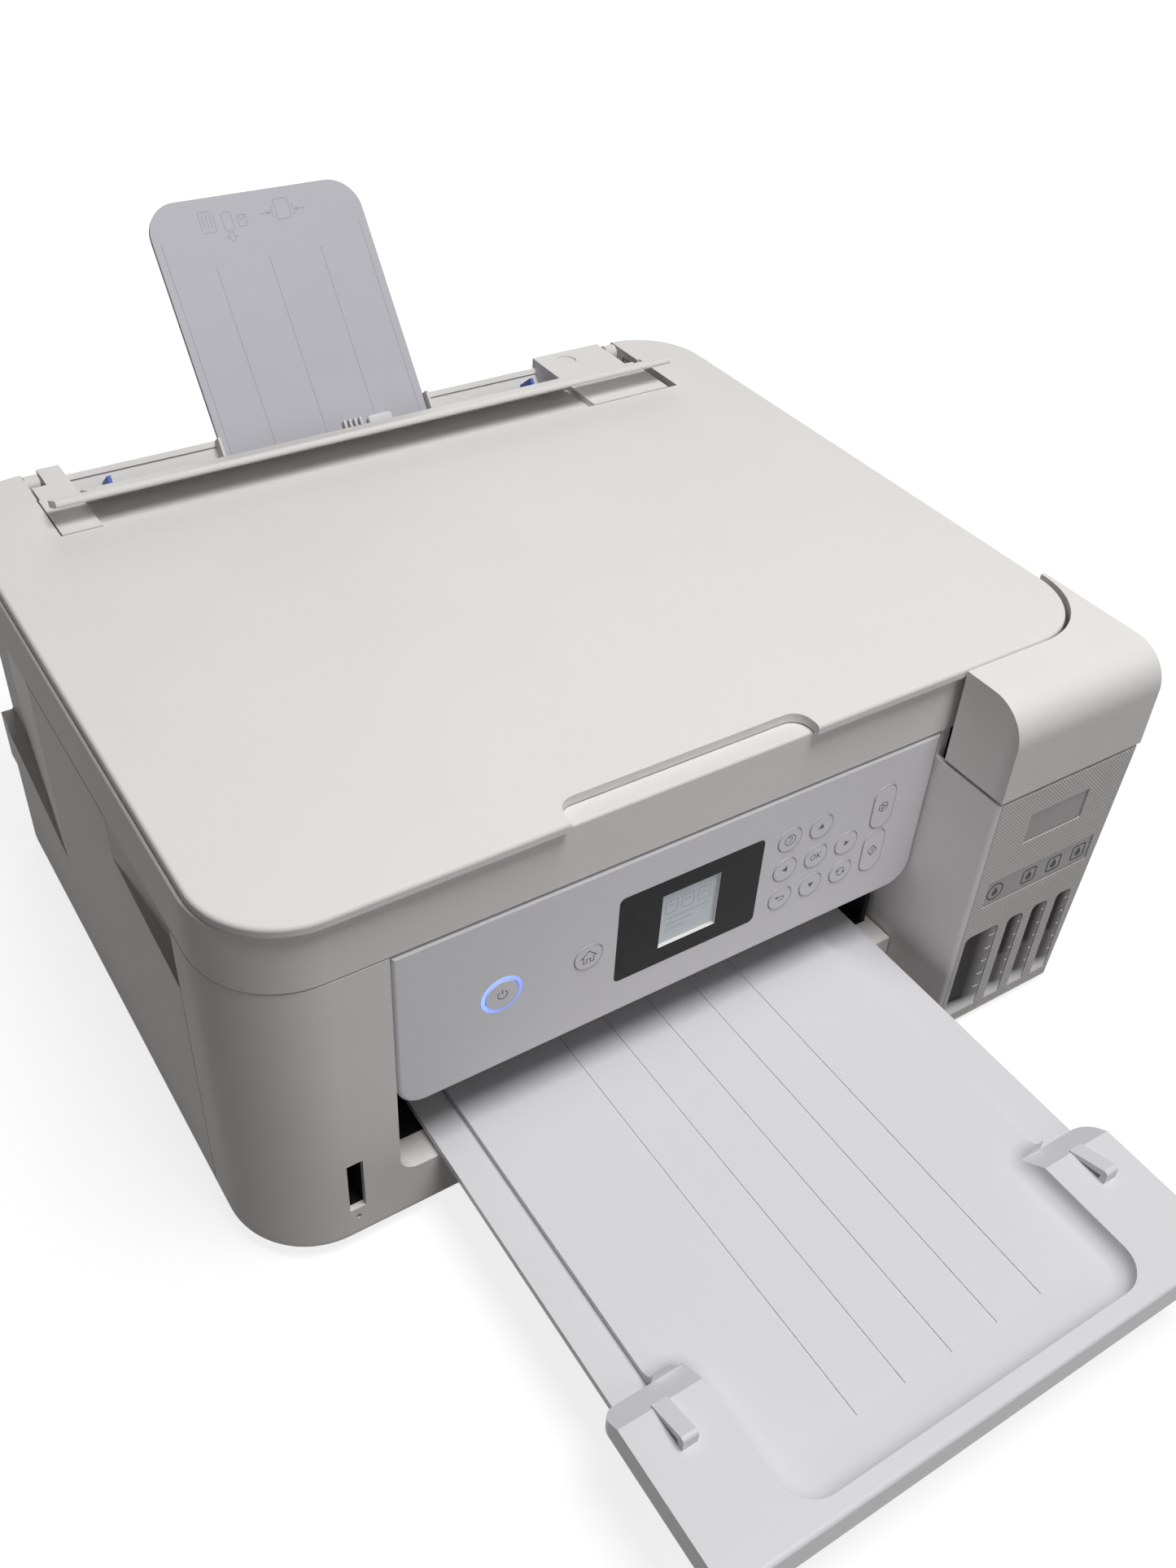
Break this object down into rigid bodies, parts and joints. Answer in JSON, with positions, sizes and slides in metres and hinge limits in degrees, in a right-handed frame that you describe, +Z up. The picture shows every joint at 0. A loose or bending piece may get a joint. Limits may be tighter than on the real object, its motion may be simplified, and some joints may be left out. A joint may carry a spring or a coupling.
{
  "type": "inkjet printer",
  "caption": "All-in-one inkjet printer with lifting scanner and cover, tilting control panel, rear paper feeder, sliding output tray and refillable ink tanks under a hinged lid.",
  "frame": {"origin": "on the floor under the middle of the whole printer with its tray out and its support up", "axes": "+X right seen from the front, -Y to the front, +Z up"},
  "size_m": [0.375, 0.5568, 0.2585],
  "materials": {
    "case": "satin grain",
    "tank_case": "fine weave",
    "tray": "satin",
    "support": "satin",
    "panel": "semi-gloss",
    "button": "semi-gloss",
    "dark_plastic": "matt",
    "display_window": "gloss",
    "display": "satin",
    "ring_light": "lit",
    "bed_glass": "clear",
    "pad": "foam",
    "sheet_steel": "bare sheet",
    "bright_steel": "ground",
    "rubber": "matt",
    "board": "lacquered",
    "tank": "smoked",
    "cap_black": "satin",
    "cap_yellow": "satin",
    "cap_magenta": "satin",
    "cap_cyan": "satin"
  },
  "bodies": {
    "body": {"base_pan": "case", "main_case": "case", "front_cover": "case", "tank_housing": "tank_case", "output_frame": "dark_plastic", "feeder_frame": "case", "feet": "rubber", "screws": "bright_steel", "power_inlet": "dark_plastic", "data_port": "sheet_steel", "card_reader": "dark_plastic", "main_board": "board", "power_supply": "sheet_steel", "print_frame": "sheet_steel", "guide_rod": "bright_steel", "carriage_belt": "rubber", "carriage_motor": "bright_steel", "feed_motor": "bright_steel", "platen": "dark_plastic", "cap_station": "dark_plastic", "ink_tanks": "tank"},
    "rear_cover": {"rear_cover": "case"},
    "scanner": {"scanner_housing": "case", "scanner_glass": "bed_glass"},
    "scan_bar": {"scan_bar": "dark_plastic"},
    "cover": {"document_cover": "case", "document_pad": "pad"},
    "panel": {"control_panel": "panel", "lcd_window": "display_window", "lcd_screen": "display", "power_ring": "ring_light", "panel_board": "board"},
    "tray": {"output_tray": "tray"},
    "extension": {"tray_extension": "tray"},
    "support": {"paper_support": "support"},
    "guard": {"feeder_guard": "case"},
    "guide_left": {"edge_guide_left": "support"},
    "guide_right": {"edge_guide_right": "support"},
    "carriage": {"carriage": "dark_plastic", "print_head": "bright_steel"},
    "feed_roller": {"feed_roller": "bright_steel"},
    "eject_roller": {"eject_roller": "bright_steel"},
    "pickup_roller": {"pickup_roller": "rubber"},
    "tank_lid": {"tank_lid": "case"},
    "cap_black": {"tank_cap_black": "cap_black"},
    "cap_yellow": {"tank_cap_yellow": "cap_yellow"},
    "cap_magenta": {"tank_cap_magenta": "cap_magenta"},
    "cap_cyan": {"tank_cap_cyan": "cap_cyan"},
    "power_button": {"power_button": "button"},
    "home_button": {"home_button": "button"},
    "help_button": {"help_button": "button"},
    "up_button": {"up_button": "button"},
    "left_button": {"left_button": "button"},
    "ok_button": {"ok_button": "button"},
    "right_button": {"right_button": "button"},
    "back_button": {"back_button": "button"},
    "down_button": {"down_button": "button"},
    "rotate_button": {"rotate_button": "button"},
    "stop_button": {"stop_button": "button"},
    "start_button": {"start_button": "button"}
  },
  "joints": [
    {"name": "scanner_lift", "type": "hinge", "parent": "body", "child": "scanner", "pos_m": [0, 0.20858, 0.175], "axis": [-1, 0, 0], "range_deg": [0, 30]},
    {"name": "cover_lift", "type": "hinge", "parent": "scanner", "child": "cover", "pos_m": [0, 0.20858, 0.175], "axis": [-1, 0, 0], "range_deg": [0, 75]},
    {"name": "scan_travel", "type": "slide", "parent": "scanner", "child": "scan_bar", "axis": [1, 0, 0], "range_m": [0, 0.302]},
    {"name": "panel_tilt", "type": "hinge", "parent": "body", "child": "panel", "pos_m": [0, -0.08792, 0.144], "axis": [-1, 0, 0], "range_deg": [0, 40]},
    {"name": "tray_slide", "type": "slide", "parent": "body", "child": "tray", "axis": [0, 1, 0], "range_m": [0, 0.178]},
    {"name": "extension_slide", "type": "slide", "parent": "tray", "child": "extension", "axis": [0, 1, 0], "range_m": [-0.055, 0]},
    {"name": "support_slide", "type": "slide", "parent": "body", "child": "support", "axis": [0, -0.6293, -0.7771], "range_m": [0, 0.095]},
    {"name": "guard_turn", "type": "hinge", "parent": "body", "child": "guard", "pos_m": [0, 0.18408, 0.1745], "axis": [-1, 0, 0], "range_deg": [0, 102]},
    {"name": "guide_left_slide", "type": "slide", "parent": "body", "child": "guide_left", "axis": [1, 0, 0], "range_m": [0, 0.035]},
    {"name": "guide_right_slide", "type": "slide", "parent": "body", "child": "guide_right", "axis": [-1, 0, 0], "range_m": [0, 0.035]},
    {"name": "carriage_travel", "type": "slide", "parent": "body", "child": "carriage", "axis": [1, 0, 0], "range_m": [-0.262, 0]},
    {"name": "feed_turn", "type": "hinge", "parent": "body", "child": "feed_roller", "pos_m": [0, 0.06758, 0.049], "axis": [1, 0, 0], "continuous": true},
    {"name": "eject_turn", "type": "hinge", "parent": "body", "child": "eject_roller", "pos_m": [0, -0.01342, 0.05], "axis": [1, 0, 0], "continuous": true},
    {"name": "pickup_turn", "type": "hinge", "parent": "body", "child": "pickup_roller", "pos_m": [0, 0.12275, 0.098], "axis": [1, 0, 0], "continuous": true},
    {"name": "tank_lid_turn", "type": "hinge", "parent": "body", "child": "tank_lid", "pos_m": [0.184, -0.11142, 0.14], "axis": [0, 1, 0], "range_deg": [0, 95]},
    {"name": "rear_cover_off", "type": "slide", "parent": "body", "child": "rear_cover", "axis": [0, 1, 0], "range_m": [0, 0.06]},
    {"name": "cap_black_turn", "type": "hinge", "parent": "body", "child": "cap_black", "pos_m": [0.1225, -0.10292, 0.1353], "axis": [-1, 0, 0], "range_deg": [0, 90]},
    {"name": "cap_yellow_turn", "type": "hinge", "parent": "body", "child": "cap_yellow", "pos_m": [0.142, -0.10292, 0.1353], "axis": [-1, 0, 0], "range_deg": [0, 90]},
    {"name": "cap_magenta_turn", "type": "hinge", "parent": "body", "child": "cap_magenta", "pos_m": [0.1566, -0.10292, 0.1353], "axis": [-1, 0, 0], "range_deg": [0, 90]},
    {"name": "cap_cyan_turn", "type": "hinge", "parent": "body", "child": "cap_cyan", "pos_m": [0.1712, -0.10292, 0.1353], "axis": [-1, 0, 0], "range_deg": [0, 90]},
    {"name": "power_press", "type": "slide", "parent": "panel", "child": "power_button", "axis": [0, 1, 0], "range_m": [0, 0.0008], "stiffness_N_per_m": 600},
    {"name": "home_press", "type": "slide", "parent": "panel", "child": "home_button", "axis": [0, 1, 0], "range_m": [0, 0.0008], "stiffness_N_per_m": 600},
    {"name": "help_press", "type": "slide", "parent": "panel", "child": "help_button", "axis": [0, 1, 0], "range_m": [0, 0.0008], "stiffness_N_per_m": 600},
    {"name": "up_press", "type": "slide", "parent": "panel", "child": "up_button", "axis": [0, 1, 0], "range_m": [0, 0.0008], "stiffness_N_per_m": 600},
    {"name": "left_press", "type": "slide", "parent": "panel", "child": "left_button", "axis": [0, 1, 0], "range_m": [0, 0.0008], "stiffness_N_per_m": 600},
    {"name": "ok_press", "type": "slide", "parent": "panel", "child": "ok_button", "axis": [0, 1, 0], "range_m": [0, 0.0008], "stiffness_N_per_m": 600},
    {"name": "right_press", "type": "slide", "parent": "panel", "child": "right_button", "axis": [0, 1, 0], "range_m": [0, 0.0008], "stiffness_N_per_m": 600},
    {"name": "back_press", "type": "slide", "parent": "panel", "child": "back_button", "axis": [0, 1, 0], "range_m": [0, 0.0008], "stiffness_N_per_m": 600},
    {"name": "down_press", "type": "slide", "parent": "panel", "child": "down_button", "axis": [0, 1, 0], "range_m": [0, 0.0008], "stiffness_N_per_m": 600},
    {"name": "rotate_press", "type": "slide", "parent": "panel", "child": "rotate_button", "axis": [0, 1, 0], "range_m": [0, 0.0008], "stiffness_N_per_m": 600},
    {"name": "stop_press", "type": "slide", "parent": "panel", "child": "stop_button", "axis": [0, 1, 0], "range_m": [0, 0.0008], "stiffness_N_per_m": 600},
    {"name": "start_press", "type": "slide", "parent": "panel", "child": "start_button", "axis": [0, 1, 0], "range_m": [0, 0.0008], "stiffness_N_per_m": 600}
  ],
  "couplings": [
    {"joint": "eject_turn", "follows": "feed_turn", "ratio": 1.1667},
    {"joint": "guide_right_slide", "follows": "guide_left_slide", "ratio": 1}
  ]
}
